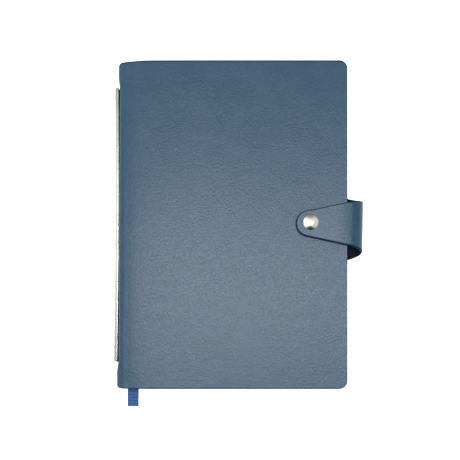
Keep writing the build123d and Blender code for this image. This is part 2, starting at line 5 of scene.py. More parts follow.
import bpy
import numpy as np
from mathutils import Matrix, Vector, geometry
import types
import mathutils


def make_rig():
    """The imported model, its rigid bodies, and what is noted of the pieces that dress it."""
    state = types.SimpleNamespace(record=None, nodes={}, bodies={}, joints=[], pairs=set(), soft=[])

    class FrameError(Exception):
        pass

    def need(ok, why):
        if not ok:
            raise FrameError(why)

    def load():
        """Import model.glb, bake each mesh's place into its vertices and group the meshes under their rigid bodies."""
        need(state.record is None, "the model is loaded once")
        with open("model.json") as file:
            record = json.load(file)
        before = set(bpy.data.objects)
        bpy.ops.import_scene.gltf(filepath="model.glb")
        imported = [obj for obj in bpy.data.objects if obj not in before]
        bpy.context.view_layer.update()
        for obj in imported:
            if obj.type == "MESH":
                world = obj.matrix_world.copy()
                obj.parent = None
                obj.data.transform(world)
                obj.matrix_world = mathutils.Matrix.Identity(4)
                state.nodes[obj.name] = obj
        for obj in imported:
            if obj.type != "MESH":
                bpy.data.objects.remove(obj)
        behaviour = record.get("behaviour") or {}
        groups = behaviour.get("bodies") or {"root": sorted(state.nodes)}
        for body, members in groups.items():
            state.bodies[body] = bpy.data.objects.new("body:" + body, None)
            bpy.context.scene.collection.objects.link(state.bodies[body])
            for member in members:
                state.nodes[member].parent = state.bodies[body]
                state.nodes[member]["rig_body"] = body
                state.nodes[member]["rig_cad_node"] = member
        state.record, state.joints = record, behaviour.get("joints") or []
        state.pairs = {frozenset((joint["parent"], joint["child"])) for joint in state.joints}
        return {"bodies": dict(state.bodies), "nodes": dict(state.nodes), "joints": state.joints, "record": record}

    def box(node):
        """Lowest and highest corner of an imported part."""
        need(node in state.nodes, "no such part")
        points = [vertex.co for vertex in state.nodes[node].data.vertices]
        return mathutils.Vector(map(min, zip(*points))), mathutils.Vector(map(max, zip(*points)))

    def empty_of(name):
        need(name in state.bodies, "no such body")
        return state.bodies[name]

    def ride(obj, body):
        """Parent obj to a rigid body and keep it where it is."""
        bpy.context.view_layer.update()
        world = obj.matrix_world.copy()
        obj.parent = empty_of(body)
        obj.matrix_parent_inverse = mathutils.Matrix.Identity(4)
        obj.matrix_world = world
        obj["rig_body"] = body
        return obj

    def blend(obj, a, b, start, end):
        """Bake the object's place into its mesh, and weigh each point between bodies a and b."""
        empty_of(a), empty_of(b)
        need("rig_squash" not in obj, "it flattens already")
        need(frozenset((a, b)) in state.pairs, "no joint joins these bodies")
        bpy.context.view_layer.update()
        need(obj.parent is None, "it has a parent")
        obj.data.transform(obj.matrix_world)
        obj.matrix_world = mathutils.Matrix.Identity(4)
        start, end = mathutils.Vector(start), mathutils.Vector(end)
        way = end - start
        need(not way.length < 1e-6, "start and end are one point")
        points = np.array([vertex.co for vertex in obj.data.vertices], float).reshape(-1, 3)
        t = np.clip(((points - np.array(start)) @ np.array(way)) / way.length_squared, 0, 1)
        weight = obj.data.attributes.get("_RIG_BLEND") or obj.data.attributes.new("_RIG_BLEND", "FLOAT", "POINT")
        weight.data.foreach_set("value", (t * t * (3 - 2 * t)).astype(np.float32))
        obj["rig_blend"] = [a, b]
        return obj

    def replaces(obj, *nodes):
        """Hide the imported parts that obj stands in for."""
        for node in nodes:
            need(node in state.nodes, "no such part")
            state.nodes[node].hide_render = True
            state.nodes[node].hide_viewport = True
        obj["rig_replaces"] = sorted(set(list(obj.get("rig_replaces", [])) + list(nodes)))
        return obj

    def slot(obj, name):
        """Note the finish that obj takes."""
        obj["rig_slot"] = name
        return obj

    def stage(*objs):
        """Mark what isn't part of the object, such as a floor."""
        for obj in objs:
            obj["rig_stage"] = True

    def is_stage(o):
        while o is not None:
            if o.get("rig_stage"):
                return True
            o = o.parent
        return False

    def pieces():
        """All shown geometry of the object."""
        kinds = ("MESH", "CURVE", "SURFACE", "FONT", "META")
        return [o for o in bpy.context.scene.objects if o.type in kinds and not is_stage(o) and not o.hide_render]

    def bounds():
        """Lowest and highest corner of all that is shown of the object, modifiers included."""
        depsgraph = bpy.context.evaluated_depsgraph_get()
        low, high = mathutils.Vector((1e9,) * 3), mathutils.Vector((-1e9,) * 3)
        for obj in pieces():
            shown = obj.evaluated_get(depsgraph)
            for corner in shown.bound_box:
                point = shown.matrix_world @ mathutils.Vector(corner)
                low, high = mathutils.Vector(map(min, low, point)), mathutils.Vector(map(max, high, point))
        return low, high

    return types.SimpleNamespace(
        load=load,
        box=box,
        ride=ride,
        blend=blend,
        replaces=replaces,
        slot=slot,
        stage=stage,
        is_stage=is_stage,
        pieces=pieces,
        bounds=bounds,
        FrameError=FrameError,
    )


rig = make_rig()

# A closed ring-bound logbook on a pale floor. Metres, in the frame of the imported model: X runs from the
# spine to the fore-edge, Y to the head and Z up through the front cover.
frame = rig.load()
cad_low, cad_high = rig.bounds()
joints = {joint["name"]: joint for joint in frame["joints"]}
rng = random.Random(7)
MM = 0.001


def joint_place(name):
    """Point on a joint's axis."""
    return Vector(joints[name]["pos_m"])


def slope(name):
    """How far a joint turns past a right angle."""
    return radians(max(joints[name]["range_deg"]) - 90)


# Cover: its plies, its outline and its soft swells.
CREASE_RADIUS = 4 * MM
CREASE_THIN = 0.73  # share of the lining pressed away along the crease, so that it folds freely
CREASE_BEND = 1.6 * MM  # half of the width that bends as the cover opens
SKIN = 0.9 * MM
BOARD = 0.6 * MM
COVER = 2.0 * MM
FORE_CORNER = 5.3 * MM
SPINE_CORNER = 1.9 * MM
HEAD_TRIM = (0.7 * MM, -0.7 * MM)  # inside the full height, at the spine and at the fore-edge
TAIL_TRIM = (0.2 * MM, 0.48 * MM)
HEAD_SAG = 1.5 * MM  # how far the head edge falls away towards the spine
TAIL_SAG = 0.3 * MM
SAG_REACH = 19 * MM
SAG_POWER = 1.3
PADDING = 0.75 * MM  # how far the front cover swells away from its crease
PADDING_REACH = 12.6 * MM
ROLL_SWELL = 0.3 * MM  # the first of that swell, close to the crease
ROLL_REACH = 3.5 * MM
LONG_WAVE = 0.05 * MM  # unevenness of the padded face
SHORT_WAVE = 0.03 * MM
WAVE_LEAD = 20 * MM  # over which it starts and ends
WAVE_TAIL = 12 * MM
FLARE = {"head": 0.5 * MM, "tail": 0.7 * MM}  # how far the spine bells out past the metal strip
FLARE_FADE = 0.7  # share of the bell that is gone at the inside of the spine
FLARE_START = 88 * MM
FLARE_END = 97 * MM
PINCH = 0.25 * MM  # how far the metal strip presses into the spine
COVER_LEAN = {"head": 1.6, "tail": 0.3, "fore": 0.6}  # share of the painted edge that shows on each side
BOARD_INSET = 2.4 * MM
BOARD_START = 1.0 * MM
BOARD_STEP = 0.3 * MM  # over which the lining climbs onto the board
POCKET_STEP = 0.2 * MM
STIFFENER_MARGIN = 0.5 * MM
STIFFENER_CUT = 5.2 * MM
COVER_ROWS = 90
WALL_COLUMNS = 6
CREASE_COLUMNS = 15
PLATE_COLUMNS = 50
CORNER_COLUMNS = 9

# Strap.
STRAP_OUTER = 0.9 * MM
STRAP_LINING = 0.7 * MM
STRAP_STANDOFF = 1.9 * MM  # from the front cover to the strap's underside
TIP_RADIUS = 8.6 * MM
TIP_Y = 0.4 * MM
TIP_END = radians(86)  # the tip's arc stops just short of its last point
HEAD_BEND_EDGE = 15.8 * MM
FRONT_EDGES = (-14.3 * MM, 15.1 * MM)
BEND_SKEW = 0.7 * MM  # how much shallower the bend is along its tail edge
BOW_LEAD = 3 * MM
BOW_REACH = 3 * MM
BOW_FADE = 25 * MM
BOW_SLOPE = radians(4.5)
EDGE_LEAN = (2.6, 1.1)  # the painted edge is skived wider on the tail side
LOOP_TURN = radians(40)  # how far round the bend the loop goes
BEND_REACH = 42  # degrees each side of the bend's middle that turn as the flap lifts
LOOP_COLUMNS = 14
BEND_COLUMNS = 34
EDGE_COLUMNS = 30
TIP_COLUMNS = 16

# Metal.
TURNED_CENTRE = 0.02 * MM  # radius at which a turned profile closes
CAP_HEIGHT = 2.0 * MM
CAP_RIM = 0.62 * MM
CAP_SHANK = 1.45 * MM
CAP_DOME_POWER = 2.35
RIM_BULGE = 0.035  # shares of the cap's radius
RIM_TUCK = 0.012
WASHER_BULGE = 0.12 * MM
EYELET_SEAT = 0.5 * MM
SHELL_STANDOFF = (0.45 * MM, 0.05 * MM)  # gap to the spine along the strip's front and back edges
SHELL_WALL = 0.4 * MM
SHELL_ROUNDING = 1.0 * MM
SHELL_BOW = 0.4 * MM  # how far the strip bows in towards the spine at mid-length
SHELL_SIDE_POWER = 0.62
SHELL_CROWN_POWER = 0.72
SHELL_AROUND = 26

# Leaves and ribbon.
PAPER = 0.086 * MM
CARD = 0.38 * MM
SHEETS = 19
SHEET_GAP = 0.026 * MM
SHEET_SHIFT = ((-0.22, 0.12), (-0.2, 0.2))  # mm along X and Y
SHEET_TRIM = (-0.1, 0.08)
LEAF_WIDTH = 140 * MM
LEAF_CORNER = 3 * MM
HOLE_RADIUS = 2.75 * MM
HOLE_MARGIN = 4.8 * MM
HOLE_SIDES = 20
RIBBON_WIDTH = 7.2 * MM
RIBBON_THICKNESS = 0.26 * MM
RIBBON_SHIFT = 0.8 * MM
RIB_PITCH = 1.96 * MM
RIB_HEIGHT = 0.04 * MM
RIBBON_CROWN = 0.03 * MM
RIBBON_DROOP = 0.9 * MM
RIBBON_DRIFT = 0.25 * MM
RIBBON_CUP = 0.12 * MM
RIBBON_FRAY = 0.05 * MM
RIBBON_STEPS = 420
RIBBON_ACROSS = 10

# Worked out from the frame.
skin_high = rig.box("front_cover_skin")[1]
SPINE_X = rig.box("spine_skin")[0].x
FORE_X = skin_high.x
HALF_HEIGHT = skin_high.y
MIDDLE_Z = skin_high.z / 2
CREASE_X = SPINE_X + CREASE_RADIUS
WALL_LENGTH = MIDDLE_Z - CREASE_RADIUS
FRONT_SLOPE = slope("front_cover_hinge")
FRONT_OUT = Vector((sin(FRONT_SLOPE), 0, cos(FRONT_SLOPE)))
LEAF_COS, LEAF_SIN = cos(slope("log_section_1_turn")), sin(slope("log_section_1_turn"))
RINGS = joint_place("log_section_1_turn")
UV_SCALE = 10  # one unit of every UV map is 100 mm
RIM_REACH = 4 * MM  # how far in from a sheet's edge its materials see the edge
PAPER_RIM_REACH = 6 * MM


# ---- mesh helpers

def smooth_step(value):
    """Ease from 0 to 1, flat at both ends."""
    value = min(1, max(0, value))
    return value * value * (3 - 2 * value)


def scene_object(name, data):
    obj = bpy.data.objects.new(name, data)
    bpy.context.scene.collection.objects.link(obj)
    return obj


def new_object(name, verts, faces, materials, uvs=None, rim=None, face_slots=None, smooth=True):
    """Mesh object from plain lists. rim is 1 at a sheet's cut edge and falls to 0 inwards."""
    mesh = bpy.data.meshes.new(name)
    mesh.from_pydata([tuple(v) for v in verts], [], faces)
    for material in materials:
        mesh.materials.append(material)
    if face_slots is not None:
        mesh.polygons.foreach_set("material_index", face_slots)
    if uvs is not None:
        layer = mesh.uv_layers.new(name="flat")
        flat = np.array(uvs, float)[[loop.vertex_index for loop in mesh.loops]]
        layer.data.foreach_set("uv", (flat * UV_SCALE).ravel())
    mesh.polygons.foreach_set("use_smooth", [smooth] * len(mesh.polygons))
    mesh.validate()
    mesh.update()
    if rim is not None:
        mesh.attributes.new("rim", "FLOAT", "POINT").data.foreach_set("value", np.array(rim, np.float32))
    return scene_object(name, mesh)


def stand_in(obj, body, slot, node):
    """The piece rides on a body in place of a CAD node."""
    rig.replaces(obj, node)
    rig.slot(obj, slot)
    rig.ride(obj, body)


def ply(name, materials, columns, rows, place, profile, pocket=None):
    """Even sheet with a shaped edge, open at its first column.

    columns(inset) lists (along, low, high) with the outline moved in by inset. profile runs over the edge
    from the top face to the bottom face as (inset, depth). place maps (along, across, depth) to space.
    pocket(along) sinks the top face, inside the first step of the profile."""
    sets = {inset: columns(inset) for inset, _ in profile}
    outline = columns(0)
    count, last = len(outline), len(rows) - 1
    verts, uvs, rim = [], [], []
    around = [(i, 0) for i in range(count)]
    around += [(count - 1, j) for j in range(1, last + 1)]
    around += [(i, last) for i in range(count - 2, -1, -1)]

    def add(inset, depth, i, j):
        along, low, high = sets[inset][i]
        across = low + (high - low) * rows[j]
        nearest = min(across - outline[i][1], outline[i][2] - across, outline[-1][0] - along)
        verts.append(place(along, across, depth))
        uvs.append((along, across))
        rim.append(max(0.0, 1 - nearest / RIM_REACH))
        return len(verts) - 1

    def grid(inset, depth, sink=None):
        cells = []
        for i, (along, _, _) in enumerate(sets[inset]):
            here = depth + (sink(along) if sink else 0)
            cells.append([add(inset, here, i, j) for j in range(last + 1)])
        return cells

    top = grid(*profile[0], pocket)
    bottom = grid(*profile[-1])
    loops = [[top[i][j] for i, j in around]]
    loops += [[add(inset, depth, i, j) for i, j in around] for inset, depth in profile[1:-1]]
    loops.append([bottom[i][j] for i, j in around])
    faces, slots = [], []
    for i in range(count - 1):
        for j in range(last):
            faces.append((top[i][j], top[i + 1][j], top[i + 1][j + 1], top[i][j + 1]))
            faces.append((bottom[i][j], bottom[i][j + 1], bottom[i + 1][j + 1], bottom[i + 1][j]))
            slots += [0, 0]
    for upper, lower in zip(loops, loops[1:]):
        for k in range(len(upper) - 1):
            faces.append((upper[k + 1], upper[k], lower[k], lower[k + 1]))
            slots.append(1)
    seam = len(faces)
    for j in range(last):
        faces.append((top[0][j + 1], bottom[0][j + 1], bottom[0][j], top[0][j]))
        slots.append(0)
    faces.append([one[0] for one in loops])
    faces.append([one[-1] for one in loops][::-1])
    slots += [1, 1]
    obj = new_object(name, verts, faces, materials, uvs, rim, slots)
    for polygon in obj.data.polygons[seam:]:
        polygon.use_smooth = False
    return obj


def sheet_faces(steps, across):
    """Faces of a closed sheet with two layers of points, and 1 for each inner face and lip."""
    row = across + 1
    layer = (steps + 1) * row
    faces, slots = [], []
    for first in range(0, layer - row, row):
        for a in range(first, first + across):
            faces.append((a + row, a + row + 1, a + 1, a))
            faces.append((layer + a + 1, layer + a + row + 1, layer + a + row, layer + a))
            slots += [0, 1]
        lip = (layer + first, layer + first + row, first + row, first)
        faces += [lip, tuple(corner + across for corner in lip[::-1])]
        slots += [1, 1]
    for first, order in ((0, -1), (layer - row, 1)):
        for a in range(first, first + across):
            faces.append((a, layer + a, layer + a + 1, a + 1)[::order])
            slots.append(0)
    return faces, slots


def even_rows(count, near, width):
    """Row fractions across a sheet, with two extra rows close to each edge."""
    inner = np.linspace(0, 1, count + 1)[1:-1]
    edge = near / width
    middle = [f for f in inner if 4 * edge < f < 1 - 4 * edge]
    return [0.0, edge, 3 * edge, *middle, 1 - 3 * edge, 1 - edge, 1.0]


def rounded(top_radius, depth, thickness, bottom_radius):
    """Profile of a cut edge, rounded above and below, from the top face to the bottom face."""
    turns = np.linspace(0, pi / 2, 5)
    foot = depth + thickness
    top = [(top_radius * (1 - sin(t)), depth + top_radius * (1 - cos(t))) for t in turns]
    under = [(bottom_radius * (1 - cos(t)), foot - bottom_radius * (1 - sin(t))) for t in turns]
    return [(round(inset, 9), level) for inset, level in top + under]


# ---- materials

class Look:
    """Node tree of a material or a world, with short calls for its nodes."""

    def __init__(self, owner, shader):
        owner.use_nodes = True
        self.nodes = owner.node_tree.nodes
        self.link = owner.node_tree.links.new
        self.shader = self.nodes[shader]

    def feed(self, node, inputs):
        """Link sockets to a node's inputs, or set them to numbers, vectors or colours."""
        for key, value in inputs.items():
            socket = node.inputs[key]
            if isinstance(value, bpy.types.NodeSocket):
                self.link(value, socket)
            elif socket.type == "RGBA":
                socket.default_value = (*value, 1)
            else:
                socket.default_value = value

    def node(self, kind, inputs=None, **settings):
        """New node with its settings and inputs."""
        node = self.nodes.new(f"ShaderNode{kind}")
        for key, value in settings.items():
            setattr(node, key, value)
        self.feed(node, inputs or {})
        return node

    def set(self, **inputs):
        """Inputs of the shader itself, with _ for each space in a name."""
        self.feed(self.shader, {key.replace("_", " "): value for key, value in inputs.items()})

    def math(self, operation, *values, clamp=False):
        return self.node("Math", dict(enumerate(values)), operation=operation, use_clamp=clamp).outputs[0]

    def plus(self, base, value, share):
        """base plus a share of value."""
        return self.math("MULTIPLY_ADD", value, share, base)

    def ramp(self, factor, *stops):
        """Colour ramp from (position, colour) stops; a number gives a grey."""
        node = self.node("ValToRGB", {0: factor})
        elements = node.color_ramp.elements
        for index, (position, colour) in enumerate(stops):
            element = elements[index] if index < 2 else elements.new(position)
            element.position = position
            element.color = (*colour, 1) if isinstance(colour, tuple) else (colour, colour, colour, 1)
        return node.outputs[0]

    def mix(self, factor, first, second, blend="MIX"):
        inputs = {0: factor, 6: first, 7: second}
        return self.node("Mix", inputs, data_type="RGBA", blend_type=blend).outputs[2]

    def shade(self, colour, factor, *stops):
        """Colour multiplied by a ramp."""
        return self.mix(1.0, colour, self.ramp(factor, *stops), "MULTIPLY")

    def noise(self, coords, scale, detail, roughness):
        inputs = {"Vector": coords, "Scale": scale, "Detail": detail, "Roughness": roughness}
        return self.node("TexNoise", inputs).outputs[0]

    def waves(self, coords, axis, scale, distortion, detail=2):
        """Even bands across an axis."""
        inputs = {"Vector": coords, "Scale": scale, "Distortion": distortion, "Detail": detail}
        return self.node("TexWave", inputs, bands_direction=axis).outputs["Fac"]

    def flat(self):
        """A sheet's own flat coordinates, one unit to 100 mm."""
        return self.node("UVMap", uv_map="flat").outputs[0]

    def space(self):
        """Coordinates in metres."""
        return self.node("TexCoord").outputs["Object"]

    def axes(self, coords):
        return self.node("SeparateXYZ", {0: coords}).outputs

    def rim(self):
        """Nearness to a sheet's cut edge."""
        return self.node("Attribute", attribute_name="rim").outputs["Fac"]

    def seen(self):
        """1 where the camera looks straight at it."""
        return self.node("LightPath").outputs["Is Camera Ray"]

    def bump(self, height, distance, strength=1.0):
        """Bump from a height socket, distance in metres at height 1."""
        node = self.node("Bump", {"Strength": strength, "Distance": distance, "Height": height})
        self.link(node.outputs[0], self.shader.inputs["Normal"])


def new_material(name):
    made = bpy.data.materials.new(name)
    return made, Look(made, "Principled BSDF")


def pebbled_leather():
    """Blue leather-cloth: fine irregular pebbles, mottled colour, polished a little at its edges."""
    made, look = new_material("blue_leather_cloth")
    coords = look.flat()
    warp = look.node("TexNoise", {"Vector": coords, "Scale": 30}).outputs["Color"]
    warped = look.node("VectorMath", {0: warp, 1: (0.02, 0.02, 0), 2: coords}, operation="MULTIPLY_ADD")
    cells = look.node(
        "TexVoronoi", {"Vector": warped.outputs[0], "Scale": 125, "Smoothness": 0.4, "Randomness": 0.9},
        feature="SMOOTH_F1",
    )
    fine = look.noise(coords, 320, 3, 0.6)
    broad = look.noise(coords, 5.5, 5, 0.55)
    middle = look.noise(coords, 32, 3, 0.5)
    pebble = look.math("SUBTRACT", 1.0, cells.outputs["Distance"], clamp=True)
    height = look.plus(look.plus(pebble, fine, 0.22), middle, 0.14)
    colour = look.ramp(
        broad, (0.3, (0.017, 0.059, 0.11)), (0.52, (0.021, 0.065, 0.119)), (0.75, (0.026, 0.071, 0.128))
    )
    colour = look.shade(colour, pebble, (0.35, 0.78), (0.75, 1.0))
    colour = look.shade(colour, fine, (0.3, 0.86), (0.7, 1.12))
    colour = look.shade(colour, middle, (0.3, 0.96), (0.7, 1.05))
    worn = look.math("MULTIPLY", look.math("POWER", look.rim(), 4.0), middle)
    colour = look.mix(worn, colour, (0.022, 0.05, 0.092))
    gloss = look.plus(0.265, pebble, -0.08)
    gloss = look.plus(gloss, broad, 0.06)
    gloss = look.plus(gloss, worn, -0.1)
    look.set(Base_Color=colour, Roughness=gloss, Specular_IOR_Level=0.25)
    look.bump(height, 0.06 * MM)
    return made


def painted_edge():
    """Dark edge paint over the cut plies, with brush streaks and small chips."""
    made, look = new_material("navy_edge_paint")
    coords = look.space()
    streaks = look.noise(coords, 900, 3, 0.6)
    patches = look.noise(coords, 140, 4, 0.6)
    colour = look.ramp(
        patches, (0.3, (0.002, 0.009, 0.03)), (0.6, (0.004, 0.016, 0.046)), (0.8, (0.012, 0.034, 0.078))
    )
    look.set(Base_Color=colour, Roughness=look.plus(0.5, streaks, 0.2), Specular_IOR_Level=0.1)
    look.bump(streaks, 0.03 * MM, 0.6)
    return made


def lining_cloth():
    """Dark matt lining with a faint close weave and slight scuffing."""
    made, look = new_material("lining_cloth")
    coords = look.flat()
    weave = look.math("MULTIPLY", look.waves(coords, "X", 60, 1.2), look.waves(coords, "Y", 60, 1.2))
    scuffs = look.noise(coords, 12, 6, 0.62)
    colour = look.ramp(
        scuffs, (0.3, (0.003, 0.008, 0.014)), (0.6, (0.005, 0.011, 0.019)), (0.85, (0.009, 0.017, 0.028))
    )
    colour = look.shade(colour, weave, (0.0, 0.8), (0.6, 1.1))
    look.set(Base_Color=colour, Roughness=look.plus(0.82, scuffs, -0.15), Specular_IOR_Level=0.2)
    look.bump(weave, 0.05 * MM, 0.6)
    return made


def metal(name, tones, rough, grain_scale, streak=(1, 1, 1), relief=0.35, dull=None):
    """Plated metal: base tones, fine grain, cloudy tarnish and, if asked, painted shade.

    Its last argument is an axis and two stops of painted shade: how the tone falls off along it, by decimetres from
    the origin."""
    made, look = new_material(name)
    coords = look.space()
    stretched = look.node("Mapping", {"Vector": coords, "Scale": streak}).outputs[0]
    grain = look.noise(stretched, grain_scale, 4, 0.6)
    cloud = look.noise(coords, 120, 5, 0.6)
    colour = look.ramp(cloud, *zip((0.35, 0.5, 0.7), tones))
    if dull:
        axis, *stops = dull
        distance = look.math("ABSOLUTE", look.axes(coords)[axis])
        colour = look.shade(colour, look.math("MULTIPLY", distance, 10), *stops)
    gloss = look.plus(look.plus(rough, grain, 0.12), cloud, 0.1)
    look.set(Base_Color=colour, Metallic=1.0, Roughness=gloss)
    look.bump(grain, 0.02 * MM, relief)
    return made


def pulp_board():
    """Grey pulp board with flecks and short fibres."""
    made, look = new_material("grey_pulp_board")
    coords = look.space()
    fibres = look.noise(coords, 1500, 5, 0.7)
    flecks = look.noise(coords, 400, 2, 0.5)
    colour = look.ramp(
        fibres, (0.3, (0.3, 0.28, 0.25)), (0.55, (0.43, 0.41, 0.37)), (0.8, (0.52, 0.5, 0.46))
    )
    colour = look.shade(colour, flecks, (0.32, 0.6), (0.42, 1.0))
    look.set(Base_Color=colour, Roughness=0.9)
    look.bump(fibres, 0.05 * MM, 0.6)
    return made


def printed_table(look, coords):
    """1 on the printed lines of a log page's table, 0 between and outside them."""
    axes = look.axes(coords)
    lines, inside = [], []
    for axis, pitch, width, low, high in (("Y", 0.07, 0.0028, -0.98, 0.9), ("X", 0.16, 0.0022, 0.1, 1.34)):
        place = look.math("PINGPONG", axes[axis], pitch / 2)
        lines.append(look.math("LESS_THAN", place, width / 2))
        above = look.math("GREATER_THAN", axes[axis], low)
        below = look.math("LESS_THAN", axes[axis], high)
        inside.append(look.math("MULTIPLY", above, below))
    return look.math("MULTIPLY", look.math("MULTIPLY", *inside), look.math("MAXIMUM", *lines))


def ivory_paper(name, ruled):
    """Ivory paper with fibres and age toning at its edges; log pages also have a printed ruled table."""
    made, look = new_material(name)
    coords = look.flat()
    fibres = look.noise(coords, 180, 6, 0.65)
    cloud = look.noise(coords, 4, 4, 0.5)
    colour = look.ramp(cloud, (0.3, (0.78, 0.745, 0.63)), (0.7, (0.84, 0.81, 0.71)))
    colour = look.shade(colour, fibres, (0.35, 0.93), (0.65, 1.03))
    colour = look.mix(look.math("MULTIPLY", look.rim(), 0.5), colour, (0.7, 0.63, 0.48))
    if ruled:
        ink = look.math("MULTIPLY", printed_table(look, coords), 0.6)
        colour = look.mix(ink, colour, (0.2, 0.33, 0.45))
    look.set(Base_Color=colour, Roughness=look.plus(0.78, fibres, 0.12))
    look.bump(fibres, 0.02 * MM, 0.5)
    return made


def woven_ribbon():
    """Royal blue ribbon: satin ribs across it, denser and darker along both selvedges."""
    made, look = new_material("ribbon_weave")
    coords = look.flat()
    ribs = look.waves(coords, "X", 16, 0.6, 1)
    threads = look.noise(coords, 240, 3, 0.6)
    selvedge = look.math("POWER", look.rim(), 6.0)
    colour = look.ramp(ribs, (0.1, (0.02, 0.07, 0.2)), (0.6, (0.034, 0.1, 0.27)), (1.0, (0.045, 0.12, 0.32)))
    colour = look.shade(colour, threads, (0.3, 0.82), (0.7, 1.15))
    colour = look.mix(selvedge, colour, (0.012, 0.035, 0.16))
    look.set(Base_Color=colour, Roughness=look.plus(0.4, threads, 0.2), Specular_IOR_Level=0.2)
    look.set(Sheen_Weight=0.08, Sheen_Roughness=0.4)
    look.bump(look.plus(ribs, threads, 0.3), 0.06 * MM, 0.7)
    return made


LEATHER = pebbled_leather()
EDGE = painted_edge()
LINING = lining_cloth()
NICKEL_TONES = ((0.59, 0.58, 0.495), (0.74, 0.73, 0.655), (0.82, 0.815, 0.75))
ROLLED_TONES = ((0.48, 0.475, 0.415), (0.52, 0.52, 0.47), (0.56, 0.56, 0.515))
# near-black tones of the steel inside the shell and of its toggle plates: painted shade
PAINTED_SHADE_STEEL_TONES = ((0.03, 0.03, 0.03), (0.05, 0.05, 0.048), (0.08, 0.078, 0.072))
STEEL_TONES = ((0.36, 0.35, 0.33), (0.48, 0.47, 0.45), (0.56, 0.56, 0.55))
NICKEL = metal("bright_nickel", NICKEL_TONES, 0.12, 900)
# the strip darkens towards both its ends: painted shade
STRIP_NICKEL = metal(
    "rolled_nickel", ROLLED_TONES, 0.16, 500, (1, 0.04, 1), 0.05, ("Y", (0.3, 1.0), (0.9, 0.55))
)
# the rings turn near black past 74.5 mm from the middle, where they run inside the shell: painted shade
RING_NICKEL = metal("ring_nickel", NICKEL_TONES, 0.12, 900, dull=("X", (0.744, 1.0), (0.75, 0.04)))
BARE_STEEL_PAINTED_SHADE = metal("bare_oiled_steel", PAINTED_SHADE_STEEL_TONES, 0.4, 700)
STEEL = metal("rolled_steel", STEEL_TONES, 0.3, 1200, (1, 0.05, 1))
GREY_BOARD = pulp_board()
PAPER_LOOK = ivory_paper("ruled_ivory_paper", True)
CARD_LOOK = ivory_paper("plain_ivory_card", False)
RIBBON_LOOK = woven_ribbon()


# ---- covers

def edge_fall(from_spine, sag):
    """How far the head or tail edge lies inside the cover's full height, near the spine."""
    fall = sag * max(0.0, 1 - from_spine / SAG_REACH) ** SAG_POWER
    short = max(0.0, SPINE_CORNER - from_spine)
    return fall + SPINE_CORNER - sqrt(SPINE_CORNER**2 - short**2)


